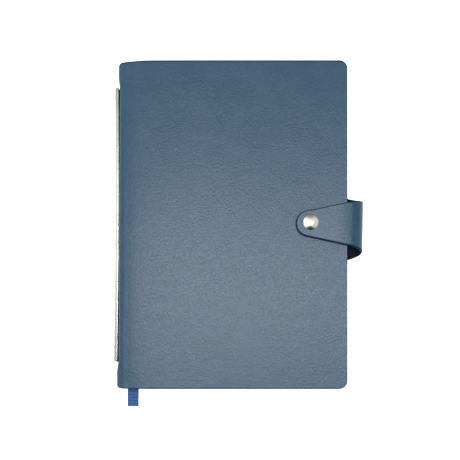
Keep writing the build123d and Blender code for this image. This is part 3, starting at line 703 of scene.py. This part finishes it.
class Fold:
    """One half of the cover's section: half the spine's wall, a crease and a plate."""

    def __init__(self, side, fall):
        self.side = side
        self.crease_length = CREASE_RADIUS * (pi / 2 + fall)
        self.plate_start = WALL_LENGTH + self.crease_length
        turn = pi / 2 - fall
        self.plate_x = CREASE_X + CREASE_RADIUS * cos(turn)
        self.plate_level = WALL_LENGTH + CREASE_RADIUS * sin(turn)
        self.direction = (cos(fall), -sin(fall))
        self.length = self.plate_start + (FORE_X - self.plate_x) / self.direction[0]

    def section(self, along):
        """Point of the outer face and its outward direction, as (x, level) pairs from mid-height."""
        if along < WALL_LENGTH:
            return (SPINE_X, along), (-1.0, 0.0)
        if along < self.plate_start:
            turn = pi - (along - WALL_LENGTH) / CREASE_RADIUS
            out = (cos(turn), sin(turn))
            return (CREASE_X + CREASE_RADIUS * out[0], WALL_LENGTH + CREASE_RADIUS * out[1]), out
        reach = along - self.plate_start
        point = (self.plate_x + reach * self.direction[0], self.plate_level + reach * self.direction[1])
        return point, (-self.direction[1], self.direction[0])

    def relief(self, along, across):
        """Soft padding of the front plate: it swells away from the crease and is a little uneven."""
        reach = along - self.plate_start
        if reach < 0 or self.side < 0:
            return 0.0
        swell = PADDING * (1 - exp(-reach / PADDING_REACH))
        swell += ROLL_SWELL * (1 - exp(-reach / ROLL_REACH))
        fade_from = 2 * PADDING_REACH
        fade = 1 - smooth_step((reach - fade_from) / (self.length - self.plate_start - fade_from))
        wave = LONG_WAVE * sin(reach * 41 + 1.1) * sin(across * 33 + 0.6)
        wave += SHORT_WAVE * sin(reach * 77 + across * 52)
        inside = smooth_step(reach / WAVE_LEAD) * smooth_step((self.length - along) / WAVE_TAIL)
        return swell * fade + wave * inside

    def flare(self, along, across, depth):
        """How far the spine bells out near the head and the tail, less the strip's press into its skin."""
        past = smooth_step((abs(across) - FLARE_START) / (FLARE_END - FLARE_START))
        press = PINCH * (1 - past) * (1 - depth / COVER)
        bell = FLARE["head" if across > 0 else "tail"] * past * (1 - FLARE_FADE * depth / COVER)
        return (bell - press) * (1 - smooth_step((along - WALL_LENGTH) / self.crease_length))

    def place(self, along, across, depth):
        """Point at a depth under the outer face."""
        point, out = self.section(along)
        if depth > SKIN and WALL_LENGTH < along < self.plate_start:
            middle = sin(pi * (along - WALL_LENGTH) / self.crease_length)
            depth = SKIN + (depth - SKIN) * (1 - CREASE_THIN * sqrt(middle))
        depth = depth - self.relief(along, across)
        x = point[0] - out[0] * depth - self.flare(along, across, max(0.0, depth))
        return x, across, MIDDLE_Z + self.side * (point[1] - out[1] * depth)

    def columns(self, inset):
        """(along, low, high) for each column, with the outline moved in by inset."""
        straight_end = self.length - FORE_CORNER
        steps = list(np.linspace(0, WALL_LENGTH, WALL_COLUMNS))[:-1]
        steps += list(np.linspace(WALL_LENGTH, self.plate_start, CREASE_COLUMNS))[:-1]
        steps += list(np.linspace(self.plate_start, straight_end, PLATE_COLUMNS))
        lean = {side: share * inset for side, share in COVER_LEAN.items()}
        found = []
        for along in steps:
            from_spine = self.section(along)[0][0] - SPINE_X
            share = from_spine / (FORE_X - SPINE_X)
            tail_trim = TAIL_TRIM[0] + (TAIL_TRIM[1] - TAIL_TRIM[0]) * share
            head_trim = HEAD_TRIM[0] + (HEAD_TRIM[1] - HEAD_TRIM[0]) * share
            low = -HALF_HEIGHT + tail_trim + edge_fall(from_spine, TAIL_SAG) + lean["tail"]
            high = HALF_HEIGHT - head_trim - edge_fall(from_spine, HEAD_SAG) - lean["head"]
            found.append((along, low, high))
        straight = HALF_HEIGHT - FORE_CORNER
        for turn in np.linspace(0, pi / 2, CORNER_COLUMNS + 1)[1:]:
            along = straight_end + (FORE_CORNER - lean["fore"]) * sin(turn)
            low = -straight + TAIL_TRIM[1] - (FORE_CORNER - lean["tail"]) * cos(turn)
            high = straight - HEAD_TRIM[1] + (FORE_CORNER - lean["head"]) * cos(turn)
            found.append((along, low, high))
        return found

    def pocket(self, along):
        """How far the lining lies under the skin, where the stiffener or the board is between them."""
        if along < WALL_LENGTH - STIFFENER_MARGIN:
            return BOARD
        return BOARD * smooth_step((along - self.plate_start - BOARD_START) / BOARD_STEP)


def cover_half(name, side, fall):
    """Skin and lining of a cover, its crease and its half of the spine: side 1 above, -1 below."""
    fold = Fold(side, fall)
    rows = even_rows(COVER_ROWS, 0.7 * MM, 2 * HALF_HEIGHT)
    lining_profile = [
        (BOARD_INSET + POCKET_STEP, SKIN), (BOARD_INSET, SKIN),
        *rounded(0.08 * MM, SKIN, COVER - SKIN, 0.35 * MM),
    ]
    along = Vector((1, 0, side)) * sqrt(0.5)
    outward = Vector((-1, 0, side)) * sqrt(0.5)
    middle = Vector((CREASE_X, 0, MIDDLE_Z + side * WALL_LENGTH)) + outward * CREASE_RADIUS
    start = middle - along * CREASE_BEND
    end = middle + along * CREASE_BEND
    for ply_name, slot, look, profile, pocket in (
        ("skin", "blue_leather", LEATHER, rounded(0.5 * MM, 0, SKIN, 0.1 * MM), None),
        ("lining", "lining", LINING, lining_profile, fold.pocket),
    ):
        obj = ply(f"{name}_{ply_name}_sheet", [look, EDGE], fold.columns, rows, fold.place, profile, pocket)
        if side > 0:
            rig.blend(obj, "spine", name, start, end)
        else:
            obj.data.flip_normals()
            for corner in obj.data.uv_layers[0].data:
                corner.uv.x = -corner.uv.x
            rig.blend(obj, name, "spine", end, start)
        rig.replaces(obj, f"{name}_{ply_name}", f"spine_{ply_name}")
        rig.slot(obj, slot)


cover_half("front_cover", 1, FRONT_SLOPE)
cover_half("back_cover", -1, 0.0)


# ---- strap

ROOT = joint_place("strap_loop_hinge")
BEND_TOP = joint_place("strap_flap_hinge")
BEND_RADIUS = BEND_TOP.z - ROOT.z
BEND_X = BEND_TOP.x - BEND_RADIUS
STRAP_OUTSET = BEND_X - ROOT.x
FLAP_START = STRAP_OUTSET + BEND_RADIUS * (pi - FRONT_SLOPE)
FLAP_X = BEND_X + BEND_RADIUS * FRONT_OUT.x
STRAP_LENGTH = FLAP_START + (FLAP_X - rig.box("strap_flap_outer")[0].x) / FRONT_OUT.z
LOOP_END = STRAP_OUTSET + BEND_RADIUS * LOOP_TURN
ROOT_EDGES = tuple(corner.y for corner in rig.box("strap_loop_outer"))
BEND_EDGES = (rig.box("strap_flap_outer")[0].y, HEAD_BEND_EDGE)


def strap_section(along):
    """Point of the strap's outer face and its outward direction, in the XZ plane."""
    if along < STRAP_OUTSET:
        return (ROOT.x + along, ROOT.z), (0.0, -1.0)
    if along < FLAP_START:
        turn = (along - STRAP_OUTSET) / BEND_RADIUS - pi / 2
        out = (cos(turn), sin(turn))
        return (BEND_X + BEND_RADIUS * out[0], BEND_TOP.z + BEND_RADIUS * out[1]), out
    reach = along - FLAP_START
    out = (FRONT_OUT.x, FRONT_OUT.z)
    return (FLAP_X - reach * out[1], BEND_TOP.z + BEND_RADIUS * out[1] + reach * out[0]), out


def strap_bow(along):
    """How far the strap bows out past the bend, gone again before the snap."""
    past = max(0.0, along - FLAP_START + BOW_LEAD) / BOW_REACH
    rise = BOW_SLOPE * exp(1) * BOW_REACH * (1 - (1 + past) * exp(-past))
    return rise * (1 - smooth_step((along - FLAP_START - BOW_REACH) / BOW_FADE))


def strap_place(along, across, depth):
    """Point at a depth under the strap's outer face."""
    point, out = strap_section(along)
    skew = BEND_SKEW * (BEND_EDGES[1] - across) / (BEND_EDGES[1] - BEND_EDGES[0])
    depth = depth - strap_bow(along) + skew * max(0.0, out[0])
    return point[0] - out[0] * depth, across, point[1] - out[1] * depth


def bend_edge(along, side):
    """Edge of the strap round the bend: a parabola through its places at root, bend and front."""
    t = along / FLAP_START
    t_bend = (STRAP_OUTSET + BEND_RADIUS * pi / 2) / FLAP_START
    at_root = ROOT_EDGES[side] * (t - t_bend) * (t - 1) / t_bend
    at_bend = BEND_EDGES[side] * t * (t - 1) / (t_bend * (t_bend - 1))
    at_front = FRONT_EDGES[side] * t * (t - t_bend) / (1 - t_bend)
    return at_root + at_bend + at_front


def flap_lean(side, tip_centre):
    """Angle to the strap's length of a straight edge that touches the tip's circle."""
    rise = abs(FRONT_EDGES[side] - TIP_Y)
    run = tip_centre - FLAP_START
    return atan2(rise, run) - asin(TIP_RADIUS / hypot(run, rise))


def flap_columns(inset):
    """Columns of the flap: straight edges that meet the tip's arc."""
    tip_centre = STRAP_LENGTH - TIP_RADIUS
    leans = [flap_lean(side, tip_centre) for side in (0, 1)]
    touch = min(leans)
    found = []
    for along in np.linspace(FLAP_START, tip_centre + TIP_RADIUS * sin(touch), EDGE_COLUMNS)[1:]:
        pair = []
        for side, sign in enumerate((-1, 1)):
            across = FRONT_EDGES[side] - sign * tan(leans[side]) * (along - FLAP_START)
            if along > tip_centre + TIP_RADIUS * sin(leans[side]):
                across = TIP_Y + sign * sqrt(TIP_RADIUS**2 - (along - tip_centre) ** 2)
            pair.append(across - sign * EDGE_LEAN[side] * inset)
        found.append((along, *pair))
    radius = TIP_RADIUS - (EDGE_LEAN[0] + EDGE_LEAN[1]) / 2 * inset
    middle = TIP_Y + (EDGE_LEAN[0] - EDGE_LEAN[1]) / 2 * inset
    for turn in np.linspace(touch, TIP_END, TIP_COLUMNS)[1:]:
        reach = radius * cos(turn)
        found.append((tip_centre + radius * sin(turn), middle - reach, middle + reach))
    return found


def strap_columns(start, end, count, tip=False):
    """Function that lists the columns of a stretch of the bend, and of the flap with the tip."""
    def columns(inset):
        found = []
        for along in np.linspace(start, end, count):
            low = bend_edge(along, 0) + EDGE_LEAN[0] * inset
            high = bend_edge(along, 1) - EDGE_LEAN[1] * inset
            found.append((along, low, high))
        return found + flap_columns(inset) if tip else found

    return columns


def bend_point(degrees):
    """Point on the bend's outer face, at an angle above its outermost line."""
    turn = radians(degrees)
    return BEND_TOP + BEND_RADIUS * Vector((cos(turn) - 1, 0, sin(turn)))


LOOP = strap_columns(0.0, LOOP_END, LOOP_COLUMNS)
FLAP = strap_columns(LOOP_END, FLAP_START, BEND_COLUMNS, tip=True)
STRAP_ROWS = even_rows(12, 0.5 * MM, 30 * MM)
for ply_name, profile, look, slot in (
    ("outer", rounded(0.42 * MM, 0.0, STRAP_OUTER, 0.08 * MM), LEATHER, "blue_leather"),
    ("lining", rounded(0.08 * MM, STRAP_OUTER, STRAP_LINING, 0.25 * MM), LINING, "lining"),
):
    for part, columns, bodies, start, end in (
        ("loop", LOOP, ("back_cover", "strap_loop"), ROOT, ROOT + Vector((STRAP_OUTSET, 0, 0))),
        ("flap", FLAP, ("strap_loop", "strap_flap"), bend_point(-BEND_REACH), bend_point(BEND_REACH)),
    ):
        obj = ply(f"strap_{part}_{ply_name}_sheet", [look, EDGE], columns, STRAP_ROWS, strap_place, profile)
        obj.data.flip_normals()
        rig.blend(obj, *bodies, start, end)
        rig.replaces(obj, f"strap_{part}_{ply_name}")
        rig.slot(obj, slot)


# ---- turned and pressed metal

def turned_piece(name, node, body, profile, centre, axis, look, segments):
    """Turned piece in place of a CAD node: a (radius, height) profile round an axis through centre."""
    turn = Vector((0, 0, 1)).rotation_difference(Vector(axis)).to_matrix()
    verts, faces = [], []
    for radius, height in profile:
        for angle in np.linspace(0, 2 * pi, segments, endpoint=False):
            point = Vector((radius * cos(angle), radius * sin(angle), height))
            verts.append(Vector(centre) + turn @ point)
    for low in range(0, (len(profile) - 1) * segments, segments):
        high = low + segments
        for step in range(segments):
            after = (step + 1) % segments
            faces.append((low + step, low + after, high + after, high + step))
    faces.append(tuple(range(segments))[::-1])
    faces.append(tuple(range(len(verts) - segments, len(verts))))
    stand_in(new_object(name, verts, faces, [look]), body, "nickel", node)


cap_low, cap_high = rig.box("snap_cap")
CAP_RADIUS = (cap_high.y - cap_low.y) / 2


def snap_axis_point(height):
    """Point on the snap's axis, height above the strap's outer face."""
    middle = (cap_low + cap_high) / 2
    point, _ = strap_section(FLAP_START + (FLAP_X - middle.x) / FRONT_OUT.z)
    return Vector((point[0], middle.y, point[1])) + FRONT_OUT * height


def cap_profile():
    """Shallow dome with a rolled rim that tucks in to the strap."""
    dome_radius = (1 - RIM_BULGE) * CAP_RADIUS
    points = []
    for t in np.linspace(0, 1, 15):
        height = CAP_RIM + (CAP_HEIGHT - CAP_RIM) * (1 - t**CAP_DOME_POWER)
        points.append((max(dome_radius * t, TURNED_CENTRE), height))
    for t in np.linspace(0, 1, 9)[1:]:
        bulge = RIM_BULGE * sin(pi * t) - RIM_TUCK * t
        points.append((dome_radius + bulge * CAP_RADIUS, CAP_RIM * (0.5 + 0.5 * cos(pi * t))))
    points += [(CAP_SHANK, 0.0), (CAP_SHANK, -STRAP_OUTER - STRAP_LINING)]
    return points[::-1]


def washer_profile(radius, thickness):
    """Flat washer with a rounded rim and a peened rivet end in its middle."""
    peened = [(0.72, 1), (0.6, 0.6), (0.5, 0.6), (0.45, 2.2), (0.3, 3.2)]
    return [
        (radius - 0.1 * MM, 0.0), (radius, 0.12 * MM), (radius, thickness),
        (radius - 0.15 * MM, thickness + WASHER_BULGE),
        *[(radius * share, thickness + rise * WASHER_BULGE) for share, rise in peened],
        (TURNED_CENTRE, thickness + 3.5 * WASHER_BULGE),
    ]


def rivet_profile(radius, length):
    """Flat rivet head on its shank, drawn from the shank's end."""
    shank = radius / 2
    return [
        (shank, -length), (shank, -0.9 * MM), (radius, -0.9 * MM), (radius, -0.75 * MM),
        (radius * 0.93, -0.66 * MM), (radius * 0.6, -0.6 * MM), (TURNED_CENTRE, -0.58 * MM),
    ]


def eyelet_profile(radius):
    """Eyelet tube with a rolled flange."""
    tube = 0.9 * MM
    return [
        (tube, -2.7 * MM), (tube, -0.05 * MM), (radius, 0.0), (radius + 0.02 * MM, 0.4 * MM),
        (radius - 0.2 * MM, 0.62 * MM), (2.2 * MM, 0.68 * MM), (1.5 * MM, 0.55 * MM), (tube, 0.1 * MM),
        (TURNED_CENTRE, 0.0),
    ]


top = snap_axis_point(0)
turned_piece("snap_cap_dome", "snap_cap", "strap_flap", cap_profile(), top, FRONT_OUT, NICKEL, 96)
for kind, piece, profile_of, axis, look in (
    ("rivet_washer", "disc", washer_profile, (1, 0, 0), NICKEL),
    ("mechanism_rivet", "flat", rivet_profile, (-1, 0, 0), STRIP_NICKEL),
):
    for end in ("head", "tail"):
        node = f"{kind}_{end}"
        low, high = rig.box(node)
        centre = (low.x, (low.y + high.y) / 2, (low.z + high.z) / 2)
        profile = profile_of((high.y - low.y) / 2, high.x - low.x)
        turned_piece(f"{node}_{piece}", node, "spine", profile, centre, axis, look, 48)
low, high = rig.box("snap_eyelet")
seat = snap_axis_point(EYELET_SEAT - COVER - STRAP_STANDOFF - STRAP_OUTER - STRAP_LINING)
profile = eyelet_profile((high.y - low.y) / 2)
turned_piece("snap_eyelet_flange", "snap_eyelet", "front_cover", profile, seat, -FRONT_OUT, NICKEL, 64)


def spine_board():
    """Spine stiffener, cut short for the cover's rounded and sagging corners."""
    mesh = frame["nodes"]["spine_stiffener"].data
    reach = HALF_HEIGHT - STIFFENER_CUT
    verts = [(v.co.x, max(-reach, min(reach, v.co.y)), v.co.z) for v in mesh.vertices]
    faces = [tuple(polygon.vertices) for polygon in mesh.polygons]
    obj = new_object("spine_stiffener_board", verts, faces, [GREY_BOARD], smooth=False)
    stand_in(obj, "spine", "grey_board", "spine_stiffener")


def shell_point(inset, y, k, half_length, half_width, crown):
    """Point k of the strip's section at y, on its outer face or inset from it."""
    close = min(1.0, (half_length - abs(y)) / SHELL_ROUNDING)
    swell = sqrt(max(0.0, 1 - (1 - close) ** 2))
    top = (crown - inset) * (0.45 + 0.55 * swell)
    side = (half_width - inset) * (0.93 + 0.07 * swell)
    bow = SHELL_BOW * (1 - (y / half_length) ** 2)
    angle = pi * k / SHELL_AROUND
    c, s = cos(angle), max(0.0, sin(angle))
    gap = SHELL_STANDOFF[0] + (SHELL_STANDOFF[1] - SHELL_STANDOFF[0]) * k / SHELL_AROUND
    out = gap + (top - gap) * s**SHELL_CROWN_POWER - bow
    return SPINE_X - out, y, MIDDLE_Z + side * copysign(abs(c) ** SHELL_SIDE_POWER, c)


def mechanism_shell():
    """Pressed cover strip: a crowned channel with closed, rounded ends."""
    low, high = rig.box("mechanism_shell")
    half_length = high.y
    sizes = (half_length, (high.z - low.z) / 2 - 0.05 * MM, SPINE_X - low.x)
    turns = np.linspace(0, pi / 2, 8)
    end = [SHELL_ROUNDING * (1 - cos(turn)) - half_length for turn in turns]
    middle = np.linspace(SHELL_ROUNDING - half_length, half_length - SHELL_ROUNDING, 60)[1:-1]
    stations = [*end, *middle, *(-y for y in end[::-1])]
    verts = []
    for inset in (0.0, SHELL_WALL):
        for y in stations:
            verts += [shell_point(inset, y, k, *sizes) for k in range(SHELL_AROUND + 1)]
    faces, slots = sheet_faces(len(stations) - 1, SHELL_AROUND)
    # the inside faces and lips, slot 1, are near-black steel: painted shade inside the channel
    obj = new_object("mechanism_shell_strip", verts, faces, [STRIP_NICKEL, BARE_STEEL_PAINTED_SHADE], face_slots=slots)
    stand_in(obj, "spine", "nickel", "mechanism_shell")


spine_board()
mechanism_shell()


# ---- leaves and ribbon

ring_boxes = [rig.box(f"ring_{number}_upper_half") for number in range(1, 7)]
RING_PLACES = [(low.y + high.y) / 2 for low, high in ring_boxes]


def leaf_frame(x, y, z):
    """Point drawn level round the rings' centre, placed with the leaves' slope."""
    return RINGS.x + x * LEAF_COS + z * LEAF_SIN, y, RINGS.z - x * LEAF_SIN + z * LEAF_COS


def leaf_outline(left, half_height):
    """Edge of a leaf, square at the rings and rounded at the fore-edge."""
    centre = (left + LEAF_WIDTH - LEAF_CORNER, half_height - LEAF_CORNER)
    turns = np.linspace(0, pi / 2, 6)
    corner = [(centre[0] + LEAF_CORNER * sin(t), centre[1] + LEAF_CORNER * cos(t)) for t in turns]
    tail = [(x, -y) for x, y in corner]
    return [(left, -half_height), *tail, *corner[::-1], (left, half_height)]


def punched_sheet(left, half_height):
    """Triangles of a leaf with its ring holes: ([(x, y)], [faces], [boundary loops])."""
    hole_x = left + HOLE_MARGIN
    loops = [leaf_outline(left, half_height)]
    turns = [-2 * pi * k / HOLE_SIDES for k in range(HOLE_SIDES)]
    for place in RING_PLACES:
        loops.append([(hole_x + HOLE_RADIUS * cos(t), place + HOLE_RADIUS * sin(t)) for t in turns])
    points, edges, index = [], [], []
    for loop in loops:
        ids = [len(points) + k for k in range(len(loop))]
        points += [Vector(p) for p in loop]
        index.append(ids)
        edges += list(zip(ids, ids[1:] + ids[:1]))
    placed, _, triangles, *_ = geometry.delaunay_2d_cdt(points, edges, [], 1, 1e-7)
    faces = []
    for face in triangles:
        reaches = [max((placed[v] - Vector((hole_x, place))).length for v in face) for place in RING_PLACES]
        if min(reaches) > HOLE_RADIUS * 1.01:
            faces.append(tuple(face))
    return [tuple(p) for p in placed], faces, index


def leaf_stack(name, node, sheets, thickness, look, slot):
    """Loose leaves of one section as punched sheets, each a little out of line with the next."""
    half_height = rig.box(node)[1].y
    offsets = [v.co - RINGS for v in frame["nodes"][node].data.vertices]
    left = min(o.x * LEAF_COS - o.z * LEAF_SIN for o in offsets)
    levels = [o.x * LEAF_SIN + o.z * LEAF_COS for o in offsets]
    bottom, top = min(levels), max(levels)
    points, triangles, loops = punched_sheet(left, half_height)
    count = len(points)
    spare = (top - bottom) - sheets * thickness - (sheets - 1) * SHEET_GAP
    verts, faces, uvs, rim = [], [], [], []
    for sheet in range(sheets):
        level = bottom + spare / 2 + sheet * (thickness + SHEET_GAP)
        shift, trim = (0, 0), 0
        if sheets > 1:
            shift = [rng.uniform(*span) * MM for span in SHEET_SHIFT]
            trim = rng.uniform(*SHEET_TRIM) * MM
        start = len(verts)
        for face_level in (level, level + thickness):
            for x, y in points:
                px = x + shift[0] + (trim if x > left + LEAF_WIDTH / 2 else 0)
                verts.append(leaf_frame(px, y + shift[1], face_level))
                uvs.append((x - left, y))
                nearest = min(x - left, left + LEAF_WIDTH - x, half_height - abs(y))
                rim.append(max(0.0, 1 - nearest / PAPER_RIM_REACH))
        for face in triangles:
            faces.append(tuple(start + count + v for v in face))
            faces.append(tuple(start + v for v in face[::-1]))
        for loop in loops:
            for a, b in zip(loop, loop[1:] + loop[:1]):
                faces.append((start + a, start + b, start + count + b, start + count + a))
    stand_in(new_object(name, verts, faces, [look], uvs, rim, smooth=False), f"{node}_body", slot, node)


for number in range(1, 5):
    leaf_stack(f"log_section_{number}_leaves", f"log_section_{number}", SHEETS, PAPER, PAPER_LOOK, "paper")
for node in ("front_flyleaf", "rear_flyleaf"):
    leaf_stack(f"{node}_card", node, 1, CARD, CARD_LOOK, "card")


def ribbon_point(i, j, level, left, fold_y, tail):
    """Point of the ribbon's free run, row i of its length and j across, on one of its faces."""
    y = fold_y - (fold_y - tail) * i / RIBBON_STEPS
    u = j / RIBBON_ACROSS
    edge = 1 - abs(2 * u - 1)
    past = max(0.0, -HALF_HEIGHT - y)
    rib = RIB_HEIGHT * sin(2 * pi * (fold_y - y) / RIB_PITCH)
    swell = rib * min(1.0, edge * 6) + RIBBON_CROWN * min(1.0, edge * 8)
    droop = -RIBBON_DROOP * (past / (11 * MM)) ** 2
    cup = RIBBON_CUP * (2 * u - 1) ** 2 * min(1.0, past / (4 * MM))
    drift = RIBBON_DRIFT * sin(y * 30 + 0.4) * min(1, past / (3 * MM))
    fray = RIBBON_FRAY * sin(j * 2.7) if i == RIBBON_STEPS else 0
    z = droop + cup + level + copysign(swell, level) - copysign(RIBBON_CROWN, level)
    return leaf_frame(left + RIBBON_WIDTH * u + drift, y + fray, z)


def ribbon():
    """Ribbon marker: out of its slit, turned at 45 degrees and down between the leaves."""
    low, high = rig.box("ribbon_marker")
    right = high.x + RIBBON_SHIFT - RINGS.x
    left = right - RIBBON_WIDTH
    fold_y = high.y - RIBBON_WIDTH
    levels = (RIBBON_THICKNESS / 2, -RIBBON_THICKNESS / 2)
    verts, uvs, rim = [], [], []
    for level in levels:
        for i in range(RIBBON_STEPS + 1):
            for j in range(RIBBON_ACROSS + 1):
                u = j / RIBBON_ACROSS
                verts.append(ribbon_point(i, j, level, left, fold_y, low.y))
                uvs.append(((fold_y - low.y) * i / RIBBON_STEPS, RIBBON_WIDTH * u))
                rim.append(max(0.0, 1 - (1 - abs(2 * u - 1)) * 2.2))
    faces = sheet_faces(RIBBON_STEPS, RIBBON_ACROSS)[0]
    start = len(verts)
    slit = low.x - RINGS.x
    for level in levels:
        for x, y in ((slit, high.y), (left, high.y), (slit, fold_y), (right, fold_y)):
            verts.append(leaf_frame(x, y, level))
            uvs.append((high.y - y, x - slit))
            rim.append(0.3)
    faces += [tuple(start + corner for corner in face) for face in sheet_faces(1, 1)[0]]
    obj = new_object("ribbon_marker_tape", verts, faces, [RIBBON_LOOK], uvs, rim)
    stand_in(obj, "spine", "ribbon", "ribbon_marker")


ribbon()


# ---- finishes of the CAD nodes that stay

def finish_node(node, look):
    mesh = frame["nodes"][node].data
    mesh.materials.clear()
    mesh.materials.append(look)


SLOT_LOOKS = {
    "blue_leather": EDGE, "lining": LINING, "grey_board": GREY_BOARD, "nickel": NICKEL,
    "spring_steel": STEEL, "paper": PAPER_LOOK, "card": CARD_LOOK, "ribbon": RIBBON_LOOK,
}
for part in frame["record"]["subparts"]:
    finish_node(part["node"], SLOT_LOOKS[part["material_slot"]])
# the toggle plates take the near-black steel and the rings darken inside the shell: both painted shade
for half in ("upper", "lower"):
    finish_node(f"{half}_toggle_plate", BARE_STEEL_PAINTED_SHADE)
    for number in range(1, len(RING_PLACES) + 1):
        finish_node(f"ring_{number}_{half}_half", RING_NICKEL)


# ---- floor, light and camera

FLOOR_GAP = 0.1 * MM
FLOOR_SIZE = 4.0
AIM = Vector((-2.1 * MM, -3.95 * MM, 19.5 * MM))
FRAME_WIDTH = 300.9 * MM
DISTANCE = 1.9
ELEVATION = radians(86.3)
ROLL = radians(0.13)
SENSOR = 36


def stage_floor():
    """Pale floor with a little light of its own."""
    made, look = new_material("pale_floor")
    cloud = look.noise(look.space(), 3, 3, 0.5)
    look.set(Base_Color=look.ramp(cloud, (0.3, 0.9), (0.7, 0.94)), Roughness=0.9, Specular_IOR_Level=0.1)
    look.set(Emission_Color=(1, 1, 1), Emission_Strength=look.plus(0.3, look.seen(), 0.6))
    z = cad_low.z - FLOOR_GAP
    corners = [(x * FLOOR_SIZE, y * FLOOR_SIZE, z) for x, y in ((-1, -1), (1, -1), (1, 1), (-1, 1))]
    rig.stage(new_object("floor", corners, [(0, 1, 2, 3)], [made]))


def area_light(name, place, target, size, power):
    light = bpy.data.lights.new(name, "AREA")
    light.shape = "RECTANGLE"
    light.size, light.size_y = size
    light.energy = power
    obj = scene_object(name, light)
    obj.location = place
    obj.rotation_euler = (Vector(target) - Vector(place)).to_track_quat("-Z", "Y").to_euler()
    return obj


def surroundings():
    """Soft white room, dark beyond the tail and dull beyond the head, plain white seen directly."""
    world = bpy.data.worlds.new("studio")
    bpy.context.scene.world = world
    look = Look(world, "Background")
    coords = look.node("TexCoord").outputs["Generated"]
    axes = look.axes(coords)
    side = look.math("ABSOLUTE", axes["X"])
    tailward = look.plus(look.math("MULTIPLY", axes["Y"], -1.0), side, -0.35)
    tailward = look.plus(tailward, look.noise(coords, 5, 2, 0.5), 0.3)
    headward = look.plus(axes["Y"], side, -0.25)
    leftward = look.plus(look.math("MULTIPLY", axes["X"], -0.6), axes["Z"], 0.8)
    shade = look.mix(look.ramp(leftward, (0.6, 0.0), (0.85, 1.0)), (0.85, 0.85, 0.83), (1.6, 1.6, 1.57))
    shade = look.mix(look.ramp(headward, (0.3, 0.0), (0.8, 1.0)), shade, (0.25, 0.25, 0.17))
    shade = look.mix(look.ramp(tailward, (0.56, 0.0), (0.66, 1.0)), shade, (0.01, 0.01, 0.01))
    look.set(Color=look.mix(look.seen(), shade, (1.0, 1.0, 1.0)), Strength=1.0)


def camera():
    """Camera almost straight above, a little towards the tail."""
    data = bpy.data.cameras.new("camera")
    data.sensor_width = SENSOR
    data.lens = SENSOR * DISTANCE / FRAME_WIDTH
    obj = scene_object("camera", data)
    back = Vector((0, -cos(ELEVATION), sin(ELEVATION)))
    obj.location = AIM + back * DISTANCE
    turn = (-back).to_track_quat("-Z", "Y").to_matrix().to_4x4()
    obj.rotation_euler = (turn @ Matrix.Rotation(ROLL, 4, Vector((0, 0, 1)))).to_euler()
    bpy.context.scene.camera = obj


stage_floor()
key = area_light("key", (-0.35, 0.95, 1.05), (0, 0, 0), (0.8, 0.6), 5)
key.visible_glossy = False
area_light("sheen", (0.08, -0.012, 0.75), (0.08, -0.012, 0), (0.36, 0.1), 2.2)
surroundings()
camera()
bpy.context.scene.view_settings.view_transform = "Standard"

low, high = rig.bounds()
with open("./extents.json", "w") as file:
    json.dump({"cad": [list(cad_low), list(cad_high)], "visual": [list(low), list(high)]}, file)
